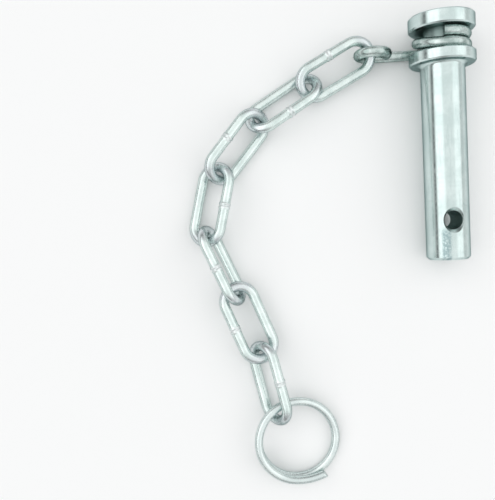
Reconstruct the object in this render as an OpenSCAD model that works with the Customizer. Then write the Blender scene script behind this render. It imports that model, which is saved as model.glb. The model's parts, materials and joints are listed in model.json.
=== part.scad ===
// Hitch pin on a short welded chain that ends in a split ring, lying on a flat surface.
// Millimetres. The floor is z = 0, +Y runs towards the pin's head and +X away from the chain.

/* [Pin] */
// Diameter of the shank that goes through the drawbar or the pin hole
shank_d = 19; // [12:0.5:30]
// Length of the shank, from the underside of the collar to the end face
shank_len = 85.5; // [50:0.5:160]
// Diameter of the collar and of the head
head_d = 28.4; // [26:0.2:45]
// Thickness of the collar, the flange that stops the pin
collar_t = 5; // [2.5:0.25:10]
// Thickness of the head above the groove
head_t = 6; // [3:0.5:14]
// Diameter of the neck at the bottom of the groove
neck_d = 15.4; // [9:0.2:16]
// Edge break on the rims of the collar and the head
rim_chamfer = 0.6; // [0.2:0.1:1.2]
// Edge break at the end of the shank
end_chamfer = 1.1; // [0.4:0.1:3]
// Fillet between the shank and the collar
collar_fillet = 1.6; // [0.4:0.1:2.4]

/* [Cross hole] */
// Diameter of the hole for a linch pin or a cotter
hole_d = 8; // [4:0.25:9.5]
// Distance from the end face to the middle of the hole
hole_from_end = 17.4; // [10:0.2:30]
// Width of the countersink round each mouth of the hole
hole_sink = 0.7; // [0.2:0.1:1.2]

/* [Wire and chain] */
// Diameter of the wire of the chain and of the neck wire
wire_d = 4.5; // [3:0.1:5]
// Inner length of a chain link
link_in_len = 30.2; // [27:0.2:44]
// Inner width of a chain link
link_in_w = 9.2; // [8.8:0.2:16]
// Least play between two links that hook into each other
link_play = 0.6; // [0.3:0.1:2]
// Length of the low swelling that the butt weld leaves on one side of a link
weld_len = 2.4; // [1:0.2:5]
// Height of that swelling over the wire
weld_rise = 0.2; // [0.1:0.05:0.6]
// Diameter of the round eye's opening in the neck wire
eye_in_d = 8; // [7:0.2:14]
// Play of the first link in the eye
eye_play = 0.8; // [0.4:0.1:1.6]
// Length from the pin's axis to the middle of the eye
leg_reach = 29.2; // [24:0.1:60]

/* [Split ring] */
// Diameter of the ring's wire
ring_wire_d = 3.6; // [2:0.1:4]
// Inner diameter of the ring
ring_in_d = 32; // [26:0.5:60]
// Play of the ring in the last link
ring_play = 1; // [0.5:0.1:3]
// How far the ring's two ends overlap, in degrees
ring_overlap = 108; // [40:2:150]

/* [Fits] */
// Radial clearance of the coil on the neck
neck_fit = 0.3; // [0.1:0.05:0.8]
// Side clearance of the coil in the groove, on each side
groove_fit = 0.2; // [0.1:0.05:1]
// Gap between neighbouring turns of a coil
turn_gap = 0.1; // [0.05:0.05:1]

/* [How it lies] */
// Direction of the pin's axis on the floor, from +Y
pin_yaw = 2.9; // [-10:0.1:10]
// Place of the pin's end face on the floor, along X
pin_end_x = 53.4; // [40:0.1:70]
// Place of the pin's end face on the floor, along Y
pin_end_y = -1.9; // [-20:0.1:20]
// Play by which the chain's pieces lie clear of the floor
floor_gap = 0.05; // [0:0.05:0.5]

/* [Hidden] */

// Segments round the turned pin and round a full bend, round a wire, and round the cross hole
turn_fn = 96;
wire_fn = 32;
hole_fn = 48;
// How far a cutting body stands out of what it cuts
cut_over = 1;

// Each link's direction on the floor and its roll about its own length. A link whose left side
// is raised, seen along the chain from the pin, has a positive roll.
link_yaw = [210.4, 214.3, 233.1, 259.7, 296.1, 294.2, 285.3];
link_roll = [-20.5, 36.8, -39, 30.2, -69.6, -12.4, 51.7];
last_link = len(link_yaw) - 1;
// Further slack of each link on the one before, as a share of the wire's diameter: more where the
// two cross at a slant
link_slack = [0, 0.42, 0.09, 0.13, 0.02, 0.24, 0.16];
// Where the ring's wire meets the last link, and where its upper end is cut, both seen from the
// ring's middle
ring_meet = 130;
ring_cut = -50;
// The ring's lower arc is just short of half a turn, so that its cut end is clear of the climb
ring_lower = 178;

zinc = [0.80, 0.86, 0.86];

// Plain vector helpers
function unit(v) = v / norm(v);
function rx(a, v) = [v.x, v.y * cos(a) - v.z * sin(a), v.y * sin(a) + v.z * cos(a)];
function ry(a, v) = [v.x * cos(a) + v.z * sin(a), v.y, -v.x * sin(a) + v.z * cos(a)];
function rz(a, v) = [v.x * cos(a) - v.y * sin(a), v.x * sin(a) + v.y * cos(a), v.z];

// A wire climbs over its own first turn in half a turn, which is plane and a little steeper than
// a helix, so that it meets flat turns at both its ends. Where it passes the wire below it, the
// two are turn_gap apart.
function climb_step(r, d) = (d + turn_gap) / cos(asin((d + turn_gap) / (2 * r)));
function climb_slope(r, step) = atan(step / (2 * r));

// The pin lies on the rim of its collar and on the edge of its shank's end, which tips its head up.
head_r = head_d / 2;
shank_r = shank_d / 2;
neck_r = neck_d / 2;
wire_r = wire_d / 2;
coil_r = neck_r + neck_fit + wire_r;
turn_step = climb_step(coil_r, wire_d);
groove_w = wire_d + turn_step + 2 * groove_fit;
pin_len = shank_len + collar_t + groove_w + head_t;
pin_tilt = atan((head_r - shank_r) / (shank_len + rim_chamfer - end_chamfer));
pin_end = [pin_end_x, pin_end_y, shank_r * cos(pin_tilt) - end_chamfer * sin(pin_tilt)];
function on_pin(v) = pin_end + rz(pin_yaw, rx(pin_tilt, v));
function along_pin(v) = rz(pin_yaw, rx(pin_tilt, v));

// The neck wire's coil, in a cross plane of the pin. The leg runs straight from the coil to the
// eye and touches both circles from below, and the eye rests on the floor.
coil_low = shank_len + collar_t + groove_fit + wire_r;
eye_r = eye_in_d / 2 + wire_r;
eye_out_r = eye_in_d / 2 + wire_d;
axis_height = on_pin([0, coil_low, 0]).z;
eye_x = -leg_reach;
eye_z = (eye_out_r + floor_gap - axis_height) / cos(pin_tilt);
eye_far = norm([eye_x, eye_z]);
leg_side = atan2(eye_z, eye_x) + 360 + acos((coil_r - eye_r) / eye_far);
leg_len = sqrt(eye_far * eye_far - (coil_r - eye_r) * (coil_r - eye_r));
// The eye bends round until its end almost touches the leg
eye_sweep = 270 + asin(1 - (wire_d + turn_gap) / eye_r);
// The coil's upper turn ends in a cut on the top of the neck
coil_end = 188;

// Half sizes of a link, between the middles of its wires
link_hw = (link_in_w + wire_d) / 2;
link_hl = (link_in_len + wire_d) / 2;

// Height of each link's middle where its lower side lies on the floor
link_rest = [for (r = link_roll) wire_r + floor_gap + link_hw * sin(abs(r))];

// A link is [middle, yaw, pitch, roll]. The next one hooks over its end bar: the two bars cross
// at a right distance along their common normal.
function turned(yaw, pitch, roll, v) = rz(yaw, ry(-pitch, rx(roll, v)));
function end_bar(p) = p[0] + turned(p[1], p[2], p[3], [link_hl, 0, 0]);
function bar_dir(p) = turned(p[1], p[2], p[3], [0, 1, 0]);
function travel(p) = turned(p[1], p[2], p[3], [1, 0, 0]);
function facing(v, along) = v * along < 0 ? -v : v;
function level_bar(i) = turned(link_yaw[i], 0, link_roll[i], [0, 1, 0]);
function level_travel(i) = turned(link_yaw[i], 0, link_roll[i], [1, 0, 0]);
function pull(dir, along, i) = facing(unit(cross(dir, level_bar(i))), level_travel(i) + along);

// Play of link i on the piece before it
function play(i) = i == 0 ? eye_play : link_play + wire_d * link_slack[i];

// Height of a link's end bar: no lower than the link itself or the next one needs it
function link_target(i) =
    i == last_link
    ? link_rest[i]
    : let (drop = (wire_d + play(i + 1)) * pull(level_bar(i), level_travel(i), i + 1).z)
      max(link_rest[i], link_rest[i + 1] + drop);
function next_link(bar, dir, along, i) =
    let (
        start = bar - (wire_d + play(i)) * pull(dir, along, i),
        pitch = asin((link_target(i) - start.z) / (2 * link_hl)),
        mid = start + turned(link_yaw[i], pitch, link_roll[i], [link_hl, 0, 0])
    )
    [mid, link_yaw[i], pitch, link_roll[i]];

eye_mid = on_pin([eye_x, coil_low, eye_z]);
eye_bar = eye_mid + along_pin([-eye_r, 0, 0]);
function link_place(i) =
    i == 0
    ? next_link(eye_bar, along_pin([0, 0, 1]), along_pin([-1, 0, 0]), 0)
    : let (before = link_place(i - 1))
      next_link(end_bar(before), bar_dir(before), travel(before), i);

// The ring lies on the floor at its far side and leans on the last link at its near side.
ring_r = (ring_in_d + ring_wire_d) / 2;
ring_step = climb_step(ring_r, ring_wire_d);
ring_upper = 180 + ring_overlap - ring_lower;
ring_fall = ((ring_cut - ring_upper - ring_meet) % 360 + 360) % 360;
ring_rise = ring_step * (1 + cos(ring_fall)) / 2;
ring_reach = ring_r - (wire_d + ring_wire_d) / 2 - ring_play;
last_bar = end_bar(link_place(last_link));
ring_lean = asin((last_bar.z - ring_rise - ring_wire_d / 2 - floor_gap) / (ring_r + ring_reach));
function on_ring(v) = rz(ring_meet, ry(-ring_lean, v));
ring_mid = last_bar - on_ring([ring_reach, 0, ring_rise]);

// A round wire bent to an arc about Z, from +X over the given sweep. Where two pieces of one wire
// meet, their sections start at the same point, which seam turns to its place.
module wire_arc(r, d, sweep, seam = 0) {
    rotate_extrude(angle = sweep, $fn = turn_fn)
        translate([r, 0])
            rotate(seam)
                circle(d = d, $fn = wire_fn);
}

// A straight round wire from the origin along +X
module wire_run(len, d, seam = 0) {
    rotate([0, 90, 0])
        linear_extrude(height = len)
            rotate(seam)
                circle(d = d, $fn = wire_fn);
}

// Half a turn about Z that starts at +X and climbs by step on the way
module wire_climb(r, d, step) {
    translate([0, 0, step / 2])
        rotate([0, climb_slope(r, step), 0])
            wire_arc(norm([r, step / 2]), d, 180);
}

module on_pin_axis() {
    translate(pin_end)
        rotate([0, 0, pin_yaw])
            rotate([pin_tilt, 0, 0])
                children();
}

// Turned profile of the pin, radius against length from the end face
module pin_profile() {
    collar_top = shank_len + collar_t;
    head_low = collar_top + groove_w;
    difference() {
        polygon([
            [0, 0],
            [shank_r - end_chamfer, 0],
            [shank_r, end_chamfer],
            [shank_r, shank_len - collar_fillet],
            [shank_r + collar_fillet, shank_len],
            [head_r - rim_chamfer, shank_len],
            [head_r, shank_len + rim_chamfer],
            [head_r, collar_top - rim_chamfer],
            [head_r - rim_chamfer, collar_top],
            [neck_r, collar_top],
            [neck_r, head_low],
            [head_r - rim_chamfer, head_low],
            [head_r, head_low + rim_chamfer],
            [head_r, pin_len - rim_chamfer],
            [head_r - rim_chamfer, pin_len],
            [0, pin_len]
        ]);
        translate([shank_r + collar_fillet, shank_len - collar_fillet])
            circle(r = collar_fillet, $fn = wire_fn);
    }
}

module hitch_pin() {
    // The mouth of the hole is lowest at the shank's sides
    mouth_height = sqrt(shank_r * shank_r - hole_d * hole_d / 4);
    color(zinc)
        on_pin_axis()
            difference() {
                rotate([-90, 0, 0])
                    rotate_extrude($fn = turn_fn)
                        pin_profile();
                // Cross hole and its two countersinks
                translate([0, hole_from_end, 0]) {
                    translate([0, 0, -shank_r - cut_over])
                        cylinder(h = shank_d + 2 * cut_over, d = hole_d, $fn = hole_fn);
                    for (side = [0, 180])
                        rotate([0, side, 0])
                            translate([0, 0, mouth_height - hole_sink])
                                cylinder(h = shank_r, d1 = hole_d, d2 = hole_d + shank_d, $fn = hole_fn);
                }
            }
}

// The coil winds about local Z, which points from the head to the shank, and the leg leaves it at
// its local +X side.
module neck_wire() {
    slope = climb_slope(coil_r, turn_step);
    color(zinc)
        on_pin_axis()
            translate([0, coil_low, 0])
                rotate([90, 0, 0])
                    rotate([0, 0, leg_side]) {
                        wire_arc(coil_r, wire_d, 180, slope);
                        rotate([0, 0, 180])
                            wire_climb(coil_r, wire_d, -turn_step);
                        translate([0, 0, -turn_step])
                            wire_arc(coil_r, wire_d, coil_end, -slope);
                        translate([coil_r, 0, 0])
                            rotate([0, 0, -90])
                                wire_run(leg_len, wire_d, 90 + slope);
                        translate([coil_r - eye_r, -leg_len, 0])
                            rotate([180, 0, 0])
                                wire_arc(eye_r, wire_d, eye_sweep, -slope);
                    }
}

// The straight side that holds the butt weld, from the origin along +X
module welded_run(len, d) {
    rotate([0, 90, 0])
        rotate_extrude($fn = wire_fn)
            polygon([
                [0, 0],
                [d / 2, 0],
                [d / 2, (len - weld_len) / 2],
                [d / 2 + weld_rise, (len - weld_len / 3) / 2],
                [d / 2 + weld_rise, (len + weld_len / 3) / 2],
                [d / 2, (len + weld_len) / 2],
                [d / 2, len],
                [0, len]
            ]);
}

// A link lies in XY, with its weld on the left side or on the right side, seen along +X.
module link_wire(weld_left) {
    straight = 2 * (link_hl - link_hw);
    for (left = [true, false])
        rotate([0, 0, left ? 0 : 180]) {
            translate([straight / 2, 0, 0])
                rotate([0, 0, -90])
                    wire_arc(link_hw, wire_d, 180);
            translate([-straight / 2, link_hw, 0])
                if (left == weld_left)
                    welded_run(straight, wire_d);
                else
                    wire_run(straight, wire_d);
        }
}

// The weld is on the link's raised side.
module chain_link(i) {
    place = link_place(i);
    color(zinc)
        translate(place[0])
            rotate([0, 0, place[1]])
                rotate([0, -place[2], 0])
                    rotate([place[3], 0, 0])
                        link_wire(place[3] > 0);
}

// The lower arc comes first, then the climb, then the upper arc, which ends in the cut.
module split_ring() {
    slope = climb_slope(ring_r, ring_step);
    color(zinc)
        translate(ring_mid)
            rotate([0, 0, ring_meet])
                rotate([0, -ring_lean, 0])
                    rotate([0, 0, ring_cut - ring_upper - 180 - ring_meet]) {
                        rotate([180, 0, 0])
                            wire_arc(ring_r, ring_wire_d, ring_lower, slope);
                        wire_climb(ring_r, ring_wire_d, ring_step);
                        translate([0, 0, ring_step])
                            rotate([0, 0, 180])
                                wire_arc(ring_r, ring_wire_d, ring_upper, slope);
                    }
}

hitch_pin();
neck_wire();
chain_link(0);  // chain_link_1
chain_link(1);  // chain_link_2
chain_link(2);  // chain_link_3
chain_link(3);  // chain_link_4
chain_link(4);  // chain_link_5
chain_link(5);  // chain_link_6
chain_link(6);  // chain_link_7
split_ring();
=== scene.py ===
"""Looks of the hitch pin: bright zinc plate on turned steel, on welded links and on spring wire."""

import json
import math

import bmesh
import bpy
import numpy as np
from mathutils import Matrix, Vector


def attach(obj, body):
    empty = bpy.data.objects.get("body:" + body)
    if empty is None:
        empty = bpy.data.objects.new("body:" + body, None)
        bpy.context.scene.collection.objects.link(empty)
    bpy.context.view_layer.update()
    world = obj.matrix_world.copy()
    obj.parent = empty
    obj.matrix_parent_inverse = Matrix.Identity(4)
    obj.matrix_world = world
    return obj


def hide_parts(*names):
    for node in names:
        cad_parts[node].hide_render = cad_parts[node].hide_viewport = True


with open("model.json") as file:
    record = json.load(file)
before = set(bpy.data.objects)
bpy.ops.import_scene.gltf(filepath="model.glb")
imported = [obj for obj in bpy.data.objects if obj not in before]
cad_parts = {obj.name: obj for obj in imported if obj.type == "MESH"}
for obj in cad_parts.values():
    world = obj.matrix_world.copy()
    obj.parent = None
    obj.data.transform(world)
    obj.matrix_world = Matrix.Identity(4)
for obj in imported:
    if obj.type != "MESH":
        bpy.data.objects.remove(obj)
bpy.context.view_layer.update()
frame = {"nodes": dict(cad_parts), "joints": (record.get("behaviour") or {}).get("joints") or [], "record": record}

MM = 0.001
LINK_COUNT = 7

# The camera hangs over the middle of the picture and looks straight down.
CAMERA_X = -36.6 * MM
CAMERA_Y = 2.0 * MM
CAMERA_HEIGHT = 278 * MM
# Focal length as a share of the picture's long side, on a 36 mm sensor
FOCAL_SHARE = 1.2
SENSOR = 36

TABLE_SIDE = 6.0

# The room by the height of the light's direction: a pale horizon, a dim band over it and the bright
# ceiling. Each row is the sine of the elevation and the level there.
ROOM_BY_HEIGHT = [(0.00, 0.93), (0.12, 0.86), (0.19, 0.18), (0.32, 0.18), (0.42, 1.00), (1.00, 1.00)]
# Between these heights the room turns into ceiling.
CEILING_EDGE = (0.32, 0.42)
# What the ceiling's level is multiplied by, from left to right: a soft box, plain ceiling, and a
# weaker soft box
CEILING_BY_SIDE = [(-1.0, 1.8), (-0.46, 1.8), (-0.36, 1.28), (0.45, 1.28), (0.55, 1.60), (1.0, 1.60)]
# How the ceiling fades towards the head's side and towards the ring's side: places and levels
CEILING_FADE = [(0.45, 1.0), (0.85, 0.55)]
# The window wall on the right: from where to where over the side it fills the dim band, and how far
WINDOW_WALL = (-0.05, 0.35, 0.80)

# The chain's wire, and the butt weld on each link
WIRE = 4.5 * MM
WELD_LENGTH = 3.2 * MM
WELD_RISE = 0.30 * MM
WELD_NOTCH = 0.55 * MM
# The weld's lumps and the bent wire's unevenness, from their lowest to their highest
WELD_LUMPS = 1.1 * MM
UNEVENNESS = 0.16 * MM
# Steps along a link and round its wire
LINK_STEPS = 240
WIRE_SIDES = 32
# How far the noise is shifted from one link to the next, so that no two welds are alike
SEED_STEP = 0.37
# The next link rubs a link's skin from this far before its end bar to this far into it.
RUB_BEFORE = 3.5 * MM
RUB_INTO = 1.0 * MM

# The ring's cut end springs outwards over its last stretch, which is given in degrees.
FLARE = 1.7 * MM
FLARE_ANGLE = 42
# The cut end's face may stand this many degrees past the place where the upper turn ends.
FLARE_PAST_CUT = 8
# Points this near to the ring's highest one belong to the top of its upper turn.
RING_TOP = 0.15 * MM
# Edges of the ring sharper than this, in degrees, stay sharp: those of its cut ends.
SHARP_EDGE = 35
# Corners of loose triangles this near to each other are one point.
SAME_POINT = 0.002 * MM

# The pin, in its own space: x across, y along towards the head, z out of the hole's upper mouth
HOLE_RADIUS = 4 * MM
COLLAR_THICKNESS = 5.0 * MM
# Distances from the pin's middle line: the painted shade is full up to the first and gone at the second.
SHADE_FULL = 9.0 * MM
SHADE_GONE = 13.2 * MM
# The dull patch runs beside the hole, this far from the middle line.
PATCH_BESIDE = 3.4 * MM


def linear(hex_colour):
    """The linear RGBA of an sRGB hex value."""
    parts = [int(hex_colour[i : i + 2], 16) / 255 for i in (1, 3, 5)]
    return [c / 12.92 if c <= 0.04045 else ((c + 0.055) / 1.055) ** 2.4 for c in parts] + [1.0]


def mount(name):
    """Place and axis of one of the record's mounts."""
    found = next(m for m in frame["record"]["mounts"] if m["name"] == name)
    return Vector(found["pos_m"]), Vector(found["axis"]).normalized()


def joint(name):
    """Place and axis of one of the record's joints."""
    found = next(j for j in frame["joints"] if j["name"] == name)
    return Vector(found["pos_m"]), Vector(found["axis"]).normalized()


def node(tree, kind, links=(), **settings):
    """Adds a node with its settings. links maps its inputs to values, to other nodes' outputs, or to
    other nodes, whose first output is meant."""
    made = tree.nodes.new(kind)
    for key, value in settings.items():
        setattr(made, key, value)
    for key, value in dict(links).items():
        if isinstance(value, bpy.types.Node):
            value = value.outputs[0]
        if isinstance(value, bpy.types.NodeSocket):
            tree.links.new(value, made.inputs[key])
        else:
            made.inputs[key].default_value = value
    return made


def patch_mask(tree, limits):
    """1 inside a patch with soft borders and 0 outside. Each row is a value and the two places
    between which the patch comes in."""
    inside = 1.0
    for value, start, full in limits:
        border = {"Value": value, "From Min": start, "From Max": full}
        border = node(tree, "ShaderNodeMapRange", border, interpolation_type="SMOOTHSTEP")
        inside = node(tree, "ShaderNodeMath", {0: inside, 1: border}, operation="MULTIPLY")
    return inside


def layered(tree, base, layers):
    """Lays thin layers over a base colour: each row is a mask, how much it covers, and its colour."""
    colour = linear(base)
    for place, cover, over in layers:
        share = node(tree, "ShaderNodeMath", {0: place, 1: cover}, operation="MULTIPLY")
        mixed = {0: share, 6: colour, 7: linear(over)}
        colour = node(tree, "ShaderNodeMix", mixed, data_type="RGBA").outputs[2]
    return colour


def plated_metal(name, edge):
    """A bare metal material. edge is its tint at grazing angles, where a plated skin looks darker."""
    material = bpy.data.materials.new(name)
    material.use_nodes = True
    tree = material.node_tree
    tree.nodes.clear()
    metal = node(tree, "ShaderNodeBsdfPrincipled", {"Metallic": 1.0, "Specular Tint": linear(edge)})
    node(tree, "ShaderNodeOutputMaterial", {"Surface": metal})
    return material, tree, metal


def dress(tree, metal, colour, roughness, height, depth):
    """Gives a metal its colour, its roughness and a relief of the given depth in metres."""
    relief = node(tree, "ShaderNodeBump", {"Height": height, "Strength": 1.0, "Distance": depth})
    tree.links.new(colour, metal.inputs["Base Color"])
    tree.links.new(roughness.outputs[0], metal.inputs["Roughness"])
    tree.links.new(relief.outputs["Normal"], metal.inputs["Normal"])


def turned_zinc():
    """Turned steel under bright zinc. To the eye it is a cool, slightly green mirror that tool marks
    blur along the pin, with a dull speckled patch beside the hole. Painted shade makes the groove,
    the head and the hole's wall darker and duller."""
    material, tree, metal = plated_metal("bright_zinc_on_turned_steel", "#8C9A9A")
    hole, up = mount("cross_hole")
    along = -mount("shank")[1]
    across = along.cross(up)
    to_pin = Matrix((across, along, up)).transposed().to_euler("XYZ")
    coords = node(tree, "ShaderNodeTexCoord").outputs["Object"]
    placing = {"Vector": coords, "Location": hole, "Rotation": to_pin}
    pin_space = node(tree, "ShaderNodeMapping", placing, vector_type="TEXTURE")
    x, y, z = node(tree, "ShaderNodeSeparateXYZ", {0: pin_space}).outputs
    radius = node(tree, "ShaderNodeVectorMath", {0: pin_space, 1: (1, 0, 1)}, operation="MULTIPLY")
    radius = node(tree, "ShaderNodeVectorMath", {0: radius}, operation="LENGTH").outputs["Value"]

    # Tool marks run round the pin and round its faces. Real ones are 0.2 mm apart; these are 1.3 mm,
    # wide enough to show.
    turned = node(tree, "ShaderNodeCombineXYZ", {0: radius, 1: y})
    feed = {"Vector": turned, "Scale": 1 / (1.3 * MM), "Detail": 3.0, "Roughness": 0.7}
    marks = node(tree, "ShaderNodeTexNoise", feed)

    # Marks of handling run along the pin. They are 1 mm wide, eight times as long, and faint.
    drawn = node(tree, "ShaderNodeMapping", {"Vector": pin_space, "Scale": (1.0, 0.12, 1.0)})
    rubs = {"Vector": drawn, "Scale": 1 / (1.1 * MM), "Detail": 3.0, "Roughness": 0.55}
    streaks = node(tree, "ShaderNodeTexNoise", rubs)

    # The bath leaves soft clouds in the zinc, 8 mm wide.
    bath = {"Vector": pin_space, "Scale": 1 / (8 * MM), "Detail": 4.0, "Roughness": 0.55}
    clouds = node(tree, "ShaderNodeTexNoise", bath)

    # The dull patch lies on the upper side, beside the hole and towards the end face. Its speckles
    # are 0.9 mm wide, as coarse as they need to be to show.
    fine = {"Vector": pin_space, "Scale": 1 / (0.9 * MM), "Detail": 2.0, "Roughness": 0.7}
    speckle = node(tree, "ShaderNodeTexNoise", fine)
    shifted = node(tree, "ShaderNodeMath", {0: x, 1: PATCH_BESIDE}, operation="ADD")
    beside = node(tree, "ShaderNodeMath", {0: shifted}, operation="ABSOLUTE")
    patch_limits = [
        (beside, 2.3 * MM, 1.1 * MM),
        (y, -2.0 * MM, -6.0 * MM),
        (z, 0.0, 4.0 * MM),
        (speckle, 0.28, 0.6),
    ]
    patch = patch_mask(tree, patch_limits)

    # Painted shade, in the groove, on the head's end face within its rim, and on the wall of the hole
    collar_top = (mount("collar_face")[0] - hole).dot(along) + COLLAR_THICKNESS
    shade_limits = [(radius, SHADE_GONE, SHADE_FULL), (y, collar_top - 0.5 * MM, collar_top)]
    shade_on_head = patch_mask(tree, shade_limits)
    from_bore = node(tree, "ShaderNodeVectorMath", {0: pin_space, 1: (1, 1, 0)}, operation="MULTIPLY")
    from_bore = node(tree, "ShaderNodeVectorMath", {0: from_bore}, operation="LENGTH").outputs["Value"]
    wall = {"Value": from_bore, "From Min": HOLE_RADIUS + 0.25 * MM, "From Max": HOLE_RADIUS + 0.05 * MM}
    shade_in_hole = node(tree, "ShaderNodeMapRange", wall, interpolation_type="SMOOTHSTEP")
    painted_shade = node(tree, "ShaderNodeMath", {0: shade_on_head, 1: shade_in_hole}, operation="MAXIMUM")

    cloudy = {"Value": clouds, "From Min": 0.35, "From Max": 0.65}
    cloudy = node(tree, "ShaderNodeMapRange", cloudy, interpolation_type="SMOOTHSTEP")
    rubbed = {"Value": streaks, "From Min": 0.5, "From Max": 0.75}
    rubbed = node(tree, "ShaderNodeMapRange", rubbed, interpolation_type="SMOOTHSTEP")
    skin = [
        (cloudy, 1.0, "#D8E6E4"),
        (rubbed, 0.35, "#BACBCA"),
        (patch, 0.8, "#8FA9AC"),
        # Painted shade: darker in the groove, on the head and on the hole's wall
        (painted_shade, 0.7, "#5B736E"),
    ]
    colour = layered(tree, "#CBDBD9", skin)

    # The tool marks take turns in gloss; the patch and the places under painted shade are duller than both.
    gloss = {"Value": marks, "From Min": 0.3, "From Max": 0.7, "To Min": 0.15, "To Max": 0.25}
    roughness = node(tree, "ShaderNodeMapRange", gloss, interpolation_type="SMOOTHSTEP")
    for place, more in ((patch, 0.25), (painted_shade, 0.2)):
        duller = {0: place, 1: more, 2: roughness}
        roughness = node(tree, "ShaderNodeMath", duller, operation="MULTIPLY_ADD")

    pitted = node(tree, "ShaderNodeMath", {0: speckle, 1: patch}, operation="MULTIPLY")
    height = node(tree, "ShaderNodeMath", {0: pitted, 1: 3.0, 2: marks}, operation="MULTIPLY_ADD")
    dress(tree, metal, colour, roughness, height, 0.006 * MM)
    return material


def wire_zinc(name, pale, dull, cloud_size):
    """Drawn wire under bright zinc. To the eye it is softer than the turned pin, in faint cool clouds.
    Where a piece stores them, weld and wear say how burnt and how rubbed its skin is."""
    material, tree, metal = plated_metal(name, "#7E8C8B")
    coords = node(tree, "ShaderNodeTexCoord").outputs["Object"]
    weld = node(tree, "ShaderNodeAttribute", attribute_name="weld").outputs["Fac"]
    wear = node(tree, "ShaderNodeAttribute", attribute_name="wear").outputs["Fac"]
    bath = {"Vector": coords, "Scale": 1 / cloud_size, "Detail": 4.0, "Roughness": 0.55}
    clouds = node(tree, "ShaderNodeTexNoise", bath)
    # The plate's grain is 0.8 mm here, far coarser than the real one, so that it shows.
    fine = {"Vector": coords, "Scale": 1 / (0.8 * MM), "Detail": 3.0, "Roughness": 0.6}
    grain = node(tree, "ShaderNodeTexNoise", fine)

    # Rubbed zinc is faintly violet, and a weld's spatter is pale; the grain breaks up both.
    cloudy = {"Value": clouds, "From Min": 0.35, "From Max": 0.65}
    cloudy = node(tree, "ShaderNodeMapRange", cloudy, interpolation_type="SMOOTHSTEP")
    rubbed = {"Value": grain, "From Min": 0.3, "From Max": 0.7, "To Min": 0.2, "To Max": 0.7}
    rubbed = node(tree, "ShaderNodeMapRange", rubbed, interpolation_type="SMOOTHSTEP")
    rubbed = node(tree, "ShaderNodeMath", {0: wear, 1: rubbed}, operation="MULTIPLY")
    spatter = {"Value": grain, "From Min": 0.35, "From Max": 0.65, "To Min": 0.3, "To Max": 0.9}
    spatter = node(tree, "ShaderNodeMapRange", spatter, interpolation_type="SMOOTHSTEP")
    spatter = node(tree, "ShaderNodeMath", {0: weld, 1: spatter}, operation="MULTIPLY")
    skin = [
        (cloudy, 1.0, pale),
        (rubbed, 1.0, "#CFD0D8"),
        (spatter, 1.0, "#F1F4F5"),
    ]
    colour = layered(tree, dull, skin)

    gloss = {"Value": grain, "From Min": 0.3, "From Max": 0.7, "To Min": 0.25, "To Max": 0.29}
    roughness = node(tree, "ShaderNodeMapRange", gloss, interpolation_type="SMOOTHSTEP")
    burnt = {0: weld, 1: 0.12, 2: roughness}
    roughness = node(tree, "ShaderNodeMath", burnt, operation="MULTIPLY_ADD")
    dress(tree, metal, colour, roughness, grain, 0.0006 * MM)
    return material


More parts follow.
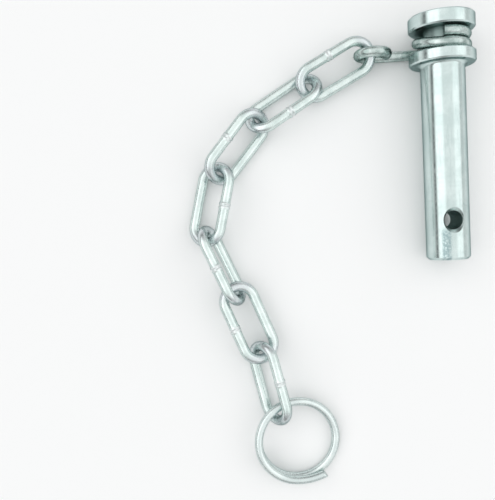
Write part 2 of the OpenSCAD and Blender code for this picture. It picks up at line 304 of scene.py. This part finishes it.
def link_tree():
    """A chain link: round wire bent to a long loop, with a butt weld on one of its straight sides."""
    tree = bpy.data.node_groups.new("welded_link", "GeometryNodeTree")
    sizes = ["Inner length", "Inner width", "Wire"]
    weld_sizes = ["Weld side", "Weld length", "Weld rise", "Weld notch", "Weld lumps"]
    for label in sizes + weld_sizes + ["Unevenness", "Seed"]:
        tree.interface.new_socket(label, in_out="INPUT", socket_type="NodeSocketFloat")
    for label in ("Place", "Turn"):
        tree.interface.new_socket(label, in_out="INPUT", socket_type="NodeSocketVector")
    tree.interface.new_socket("Finish", in_out="INPUT", socket_type="NodeSocketMaterial")
    tree.interface.new_socket("Geometry", in_out="OUTPUT", socket_type="NodeSocketGeometry")
    given = node(tree, "NodeGroupInput").outputs
    wire = given["Wire"]
    half = node(tree, "ShaderNodeMath", {0: wire, 1: 0.5}, operation="MULTIPLY")

    # The wire's middle line: a box as long and wide as the link, its ends rounded to half circles
    width = node(tree, "ShaderNodeMath", {0: given["Inner length"], 1: wire}, operation="ADD")
    height = node(tree, "ShaderNodeMath", {0: given["Inner width"], 1: wire}, operation="ADD")
    box = node(tree, "GeometryNodeCurvePrimitiveQuadrilateral", {"Width": width, "Height": height})
    bend = node(tree, "ShaderNodeMath", {0: height, 1: 0.5}, operation="MULTIPLY")
    rounded = {"Curve": box, "Count": WIRE_SIDES, "Radius": bend, "Limit Radius": True}
    loop = node(tree, "GeometryNodeFilletCurve", rounded, mode="POLY")
    path = node(tree, "GeometryNodeResampleCurve", {"Curve": loop, "Count": LINK_STEPS})

    # The weld swells the wire, with a sharp notch in its middle.
    x, y, _ = node(tree, "ShaderNodeSeparateXYZ", {0: node(tree, "GeometryNodeInputPosition")}).outputs
    away = node(tree, "ShaderNodeMath", {0: x}, operation="ABSOLUTE")
    sided = node(tree, "ShaderNodeMath", {0: y, 1: given["Weld side"]}, operation="MULTIPLY")
    on_side = node(tree, "ShaderNodeMath", {0: sided, 1: 0.0}, operation="GREATER_THAN")
    weld_half = node(tree, "ShaderNodeMath", {0: given["Weld length"], 1: 0.5}, operation="MULTIPLY")
    crown = node(tree, "ShaderNodeMath", {0: weld_half, 1: 0.45}, operation="MULTIPLY")
    swell = {"Value": away, "From Min": weld_half, "From Max": crown}
    swell = node(tree, "ShaderNodeMapRange", swell, interpolation_type="SMOOTHSTEP")
    swell = node(tree, "ShaderNodeMath", {0: swell, 1: on_side}, operation="MULTIPLY")
    lips = node(tree, "ShaderNodeMath", {0: weld_half, 1: 0.35}, operation="MULTIPLY")
    notch = {"Value": away, "From Min": lips, "From Max": 0.0}
    notch = node(tree, "ShaderNodeMapRange", notch, interpolation_type="SMOOTHSTEP")
    notch = node(tree, "ShaderNodeMath", {0: notch, 1: on_side}, operation="MULTIPLY")
    rise = node(tree, "ShaderNodeMath", {0: swell, 1: given["Weld rise"]}, operation="MULTIPLY")
    cut = node(tree, "ShaderNodeMath", {0: notch, 1: given["Weld notch"]}, operation="MULTIPLY")
    rise = node(tree, "ShaderNodeMath", {0: rise, 1: cut}, operation="SUBTRACT")
    grown = node(tree, "ShaderNodeMath", {0: rise, 1: half}, operation="DIVIDE")
    scale = node(tree, "ShaderNodeMath", {0: grown, 1: 1.0}, operation="ADD")
    section = node(tree, "GeometryNodeCurvePrimitiveCircle", {"Resolution": WIRE_SIDES, "Radius": half})
    sweep = {"Curve": path, "Profile Curve": section, "Scale": scale}
    skin = node(tree, "GeometryNodeCurveToMesh", sweep)

    # The weld has lumps 0.9 mm wide, and bending left the wire a little uneven, in waves of 7 mm.
    shift = node(tree, "ShaderNodeCombineXYZ", {2: given["Seed"]})
    seeded = {0: node(tree, "GeometryNodeInputPosition"), 1: shift}
    seeded = node(tree, "ShaderNodeVectorMath", seeded, operation="ADD")
    out_by = 0.0
    rows = [(0.9 * MM, 2.0, given["Weld lumps"], swell), (7 * MM, 1.0, given["Unevenness"], 1.0)]
    for size, detail, reach, place in rows:
        relief = {"Vector": seeded, "Scale": 1 / size, "Detail": detail, "Roughness": 0.55}
        relief = node(tree, "ShaderNodeTexNoise", relief)
        relief = node(tree, "ShaderNodeMath", {0: relief, 1: 0.5}, operation="SUBTRACT")
        relief = node(tree, "ShaderNodeMath", {0: relief, 1: place}, operation="MULTIPLY")
        relief = {0: relief, 1: reach, 2: out_by}
        out_by = node(tree, "ShaderNodeMath", relief, operation="MULTIPLY_ADD")
    push = {0: node(tree, "GeometryNodeInputNormal"), "Scale": out_by}
    push = node(tree, "ShaderNodeVectorMath", push, operation="SCALE")
    moved = node(tree, "GeometryNodeSetPosition", {"Geometry": skin, "Offset": push})

    # The next link rubs the skin round both end bars.
    bar = node(tree, "ShaderNodeMath", {0: given["Inner length"], 1: 0.5}, operation="MULTIPLY")
    start = node(tree, "ShaderNodeMath", {0: bar, 1: RUB_BEFORE}, operation="SUBTRACT")
    full = node(tree, "ShaderNodeMath", {0: bar, 1: RUB_INTO}, operation="ADD")
    wear = {"Value": away, "From Min": start, "From Max": full}
    wear = node(tree, "ShaderNodeMapRange", wear, interpolation_type="SMOOTHSTEP")
    marked = {"Geometry": moved, "Name": "weld", "Value": swell}
    marked = node(tree, "GeometryNodeStoreNamedAttribute", marked)
    marked = {"Geometry": marked, "Name": "wear", "Value": wear}
    marked = node(tree, "GeometryNodeStoreNamedAttribute", marked)
    laid = {"Geometry": marked, "Translation": given["Place"], "Rotation": given["Turn"]}
    laid = node(tree, "GeometryNodeTransform", laid)
    smooth = node(tree, "GeometryNodeSetShadeSmooth", {"Geometry": laid})
    real = node(tree, "GeometryNodeRealizeInstances", {"Geometry": smooth})
    dressed = node(tree, "GeometryNodeSetMaterial", {"Geometry": real, "Material": given["Finish"]})
    node(tree, "NodeGroupOutput", {0: dressed})
    return tree


def baked(name, tree, values):
    """Runs a Geometry Nodes tree with the given inputs and keeps its result as a plain mesh."""
    holder = bpy.data.objects.new(name, bpy.data.meshes.new(name + "_start"))
    bpy.context.collection.objects.link(holder)
    modifier = holder.modifiers.new("build", "NODES")
    modifier.node_group = tree
    for item in tree.interface.items_tree:
        if item.in_out == "INPUT":
            modifier[item.identifier] = values[item.name]
    bpy.context.view_layer.update()
    mesh = bpy.data.meshes.new_from_object(holder.evaluated_get(bpy.context.evaluated_depsgraph_get()))
    mesh.name = name
    holder.modifiers.clear()
    holder.data = mesh
    return holder


def surface_middle(piece):
    """The middle of a mesh's surface, weighed by area."""
    total = 0.0
    moment = Vector()
    for face in piece.data.polygons:
        total += face.area
        moment += face.area * face.center
    return moment / total


def link_frame(index):
    """Middle, length direction, bar direction and inner length of a link, from its joints and its skin."""
    follower = f"link_{index + 1}_swing" if index < LINK_COUNT else "ring_swing"
    bar, bar_axis = joint(follower)
    middle = surface_middle(frame["nodes"][f"chain_link_{index}"])
    length = bar - middle
    ahead = length.normalized()
    side = (bar_axis - bar_axis.dot(ahead) * ahead).normalized()
    return middle, ahead, side, 2 * length.length - WIRE


def link_width():
    """Inner width of the links, which are all equal: the second one's reach to its sides, less the wire."""
    middle, _, side, _ = link_frame(2)
    reach = max(abs((v.co - middle).dot(side)) for v in frame["nodes"]["chain_link_2"].data.vertices)
    return 2 * (reach - WIRE)


def add_links(finish):
    """Puts a welded link in the place of each of the seven links."""
    tree = link_tree()
    inner_width = link_width()
    for index in range(1, LINK_COUNT + 1):
        middle, ahead, side, inner_length = link_frame(index)
        turn = Matrix((ahead, side, ahead.cross(side))).transposed().to_euler("XYZ")
        # Each link leans to one side; its weld is on the raised one.
        values = {
            "Inner length": inner_length,
            "Inner width": inner_width,
            "Wire": WIRE,
            "Weld side": 1.0 if side.z > 0 else -1.0,
            "Weld length": WELD_LENGTH,
            "Weld rise": WELD_RISE,
            "Weld notch": WELD_NOTCH,
            "Weld lumps": WELD_LUMPS,
            "Unevenness": UNEVENNESS,
            "Seed": index * SEED_STEP,
            "Place": middle,
            "Turn": turn,
            "Finish": finish,
        }
        link = baked(f"welded_link_{index}", tree, values)
        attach(link, f"link_{index}")
        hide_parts(f"chain_link_{index}")


def ring_frame(points, last_bar):
    """The ring's own axes and its middle in them. The ring leans towards the bar that lifts it, and
    its up is the direction in which it is thinnest."""
    low, high = points.min(0), points.max(0)
    middle = (low + high) / 2
    level = np.array([last_bar.x - middle[0], last_bar.y - middle[1], 0.0])
    level /= np.linalg.norm(level)

    def up_at(lean):
        return np.array([0.0, 0.0, math.cos(lean)]) - level * math.sin(lean)

    # Every lean from 5 degrees away to 30 degrees towards the bar, in tenths of a degree
    leans = np.radians(np.arange(-5, 30, 0.1))
    lean = min(leans, key=lambda a: np.ptp(points @ up_at(a)))
    up = up_at(lean)
    ahead = level * math.cos(lean) + np.array([0.0, 0.0, math.sin(lean)])
    axes = np.array([ahead, np.cross(up, ahead), up])
    local = points @ axes.T
    return axes, (local.min(0) + local.max(0)) / 2


def add_flared_ring(finish):
    """The split ring with its upper end sprung outwards, as a ring has that was once pulled open."""
    source = frame["nodes"]["split_ring"]
    shape = bmesh.new()
    shape.from_mesh(source.data)
    bmesh.ops.remove_doubles(shape, verts=shape.verts, dist=SAME_POINT)
    points = np.array([v.co for v in shape.verts])
    axes, middle = ring_frame(points, joint("ring_swing")[0])
    local = points @ axes.T - middle
    angle = np.degrees(np.arctan2(local[:, 1], local[:, 0]))

    # The upper turn runs anticlockwise to its cut, so the cut is where the run of top points ends.
    top = np.sort(angle[local[:, 2] > local[:, 2].max() - RING_TOP])
    gaps = np.diff(np.append(top, top[0] + 360))
    cut = top[np.argmax(gaps)]
    back = (cut - angle + 180) % 360 - 180
    share = np.clip(1 - back / FLARE_ANGLE, 0, 1.1)
    share[(local[:, 2] < 0) | (back > FLARE_ANGLE) | (back < -FLARE_PAST_CUT)] = 0
    outwards = local * [1, 1, 0]
    outwards /= np.linalg.norm(outwards, axis=1, keepdims=True)
    shifts = (outwards * (FLARE * share**2)[:, None]) @ axes
    for vert, shift in zip(shape.verts, shifts):
        vert.co += Vector(shift)

    mesh = bpy.data.meshes.new("flared_ring")
    shape.to_mesh(mesh)
    shape.free()
    mesh.polygons.foreach_set("use_smooth", [True] * len(mesh.polygons))
    mesh.set_sharp_from_angle(angle=math.radians(SHARP_EDGE))
    mesh.materials.append(finish)
    ring = bpy.data.objects.new("flared_ring", mesh)
    bpy.context.collection.objects.link(ring)
    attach(ring, "ring")
    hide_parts("split_ring")


def give(name, material):
    """Puts a material on a CAD node's own object."""
    piece = frame["nodes"][name]
    piece.data.materials.clear()
    piece.data.materials.append(material)


def add_camera():
    """The camera, which looks straight down from where the picture was taken."""
    data = bpy.data.cameras.new("top_camera")
    data.sensor_width = SENSOR
    data.lens = SENSOR * FOCAL_SHARE
    camera = bpy.data.objects.new("top_camera", data)
    camera.location = (CAMERA_X, CAMERA_Y, CAMERA_HEIGHT)
    bpy.context.collection.objects.link(camera)
    bpy.context.scene.camera = camera


def add_table():
    """The table: a painted board, white and matt. It scatters the light and mirrors nothing."""
    half = TABLE_SIDE / 2
    corners = [(-half, -half, 0), (half, -half, 0), (half, half, 0), (-half, half, 0)]
    mesh = bpy.data.meshes.new("table")
    mesh.from_pydata(corners, [], [(0, 1, 2, 3)])
    table = bpy.data.objects.new("table", mesh)
    bpy.context.collection.objects.link(table)
    material = bpy.data.materials.new("white_matt_board")
    material.use_nodes = True
    board = material.node_tree.nodes["Principled BSDF"]
    board.inputs["Base Color"].default_value = linear("#FBFCFC")
    board.inputs["Roughness"].default_value = 0.95
    board.inputs["Specular IOR Level"].default_value = 0.2
    mesh.materials.append(material)


def add_room():
    """The room, as the world: every ray sees the same pale horizon, dim walls, window and ceiling."""
    world = bpy.data.worlds.new("room")
    bpy.context.scene.world = world
    world.use_nodes = True
    tree = world.node_tree
    tree.nodes.clear()
    way = node(tree, "ShaderNodeTexCoord").outputs["Generated"]
    x, y, z = node(tree, "ShaderNodeSeparateXYZ", {0: way}).outputs

    # The levels by height and by side, each looked up in its rows
    levels = []
    for value, rows in ((z, ROOM_BY_HEIGHT), (x, CEILING_BY_SIDE)):
        low, high = rows[0][0], rows[-1][0]
        brightest = max(level for _, level in rows)
        place = node(tree, "ShaderNodeMapRange", {"Value": value, "From Min": low, "From Max": high})
        ramp = node(tree, "ShaderNodeValToRGB", {"Fac": place})
        points = ramp.color_ramp.elements
        for index, (at, level) in enumerate(rows):
            spot = (at - low) / (high - low)
            point = points[index] if index < 2 else points.new(spot)
            point.position = spot
            point.color = (level / brightest,) * 3 + (1.0,)
        levels.append(node(tree, "ShaderNodeMath", {0: ramp, 1: brightest}, operation="MULTIPLY"))
    walls, ceiling = levels

    # The window wall lifts the dim band on the right towards full light.
    start, full, share = WINDOW_WALL
    lack = node(tree, "ShaderNodeMath", {0: 1.0, 1: walls}, operation="SUBTRACT")
    filled = {"Value": x, "From Min": start, "From Max": full, "To Max": share}
    filled = node(tree, "ShaderNodeMapRange", filled, interpolation_type="SMOOTHSTEP")
    walls = node(tree, "ShaderNodeMath", {0: lack, 1: filled, 2: walls}, operation="MULTIPLY_ADD")

    # The ceiling's light, which fades to the head's side and to the ring's side
    (near, near_level), (far, far_level) = CEILING_FADE
    depth = node(tree, "ShaderNodeMath", {0: y}, operation="ABSOLUTE")
    fade = {"Value": depth, "From Min": near, "From Max": far, "To Min": near_level, "To Max": far_level}
    fade = node(tree, "ShaderNodeMapRange", fade, interpolation_type="SMOOTHSTEP")
    ceiling = node(tree, "ShaderNodeMath", {0: ceiling, 1: fade}, operation="MULTIPLY")
    extra = node(tree, "ShaderNodeMath", {0: ceiling, 1: 1.0}, operation="SUBTRACT")
    overhead = {"Value": z, "From Min": CEILING_EDGE[0], "From Max": CEILING_EDGE[1]}
    overhead = node(tree, "ShaderNodeMapRange", overhead, interpolation_type="SMOOTHSTEP")
    gain = node(tree, "ShaderNodeMath", {0: extra, 1: overhead, 2: 1.0}, operation="MULTIPLY_ADD")
    strength = node(tree, "ShaderNodeMath", {0: walls, 1: gain}, operation="MULTIPLY")
    light = node(tree, "ShaderNodeBackground", {"Strength": strength})
    node(tree, "ShaderNodeOutputWorld", {"Surface": light})


add_camera()
add_room()
add_table()

# Zinc over mild steel rod, bent and welded to links
bent_wire = wire_zinc("bright_zinc_on_bent_wire", "#E7F3F0", "#D6E4E1", 6 * MM)
# The same in darker colours all over: painted shade of the pin's groove, in which it lies
neck_wire = wire_zinc("painted_shade_zinc_on_neck_wire", "#D6E2DF", "#A9BAB6", 4 * MM)
# Zinc over hard spring wire, in wider and fainter clouds
spring_wire = wire_zinc("bright_zinc_on_spring_wire", "#E6F0EE", "#D8E3E2", 9 * MM)

give("hitch_pin", turned_zinc())
give("neck_wire", neck_wire)
add_links(bent_wire)
add_flared_ring(spring_wire)

bpy.context.scene.view_settings.view_transform = "Standard"
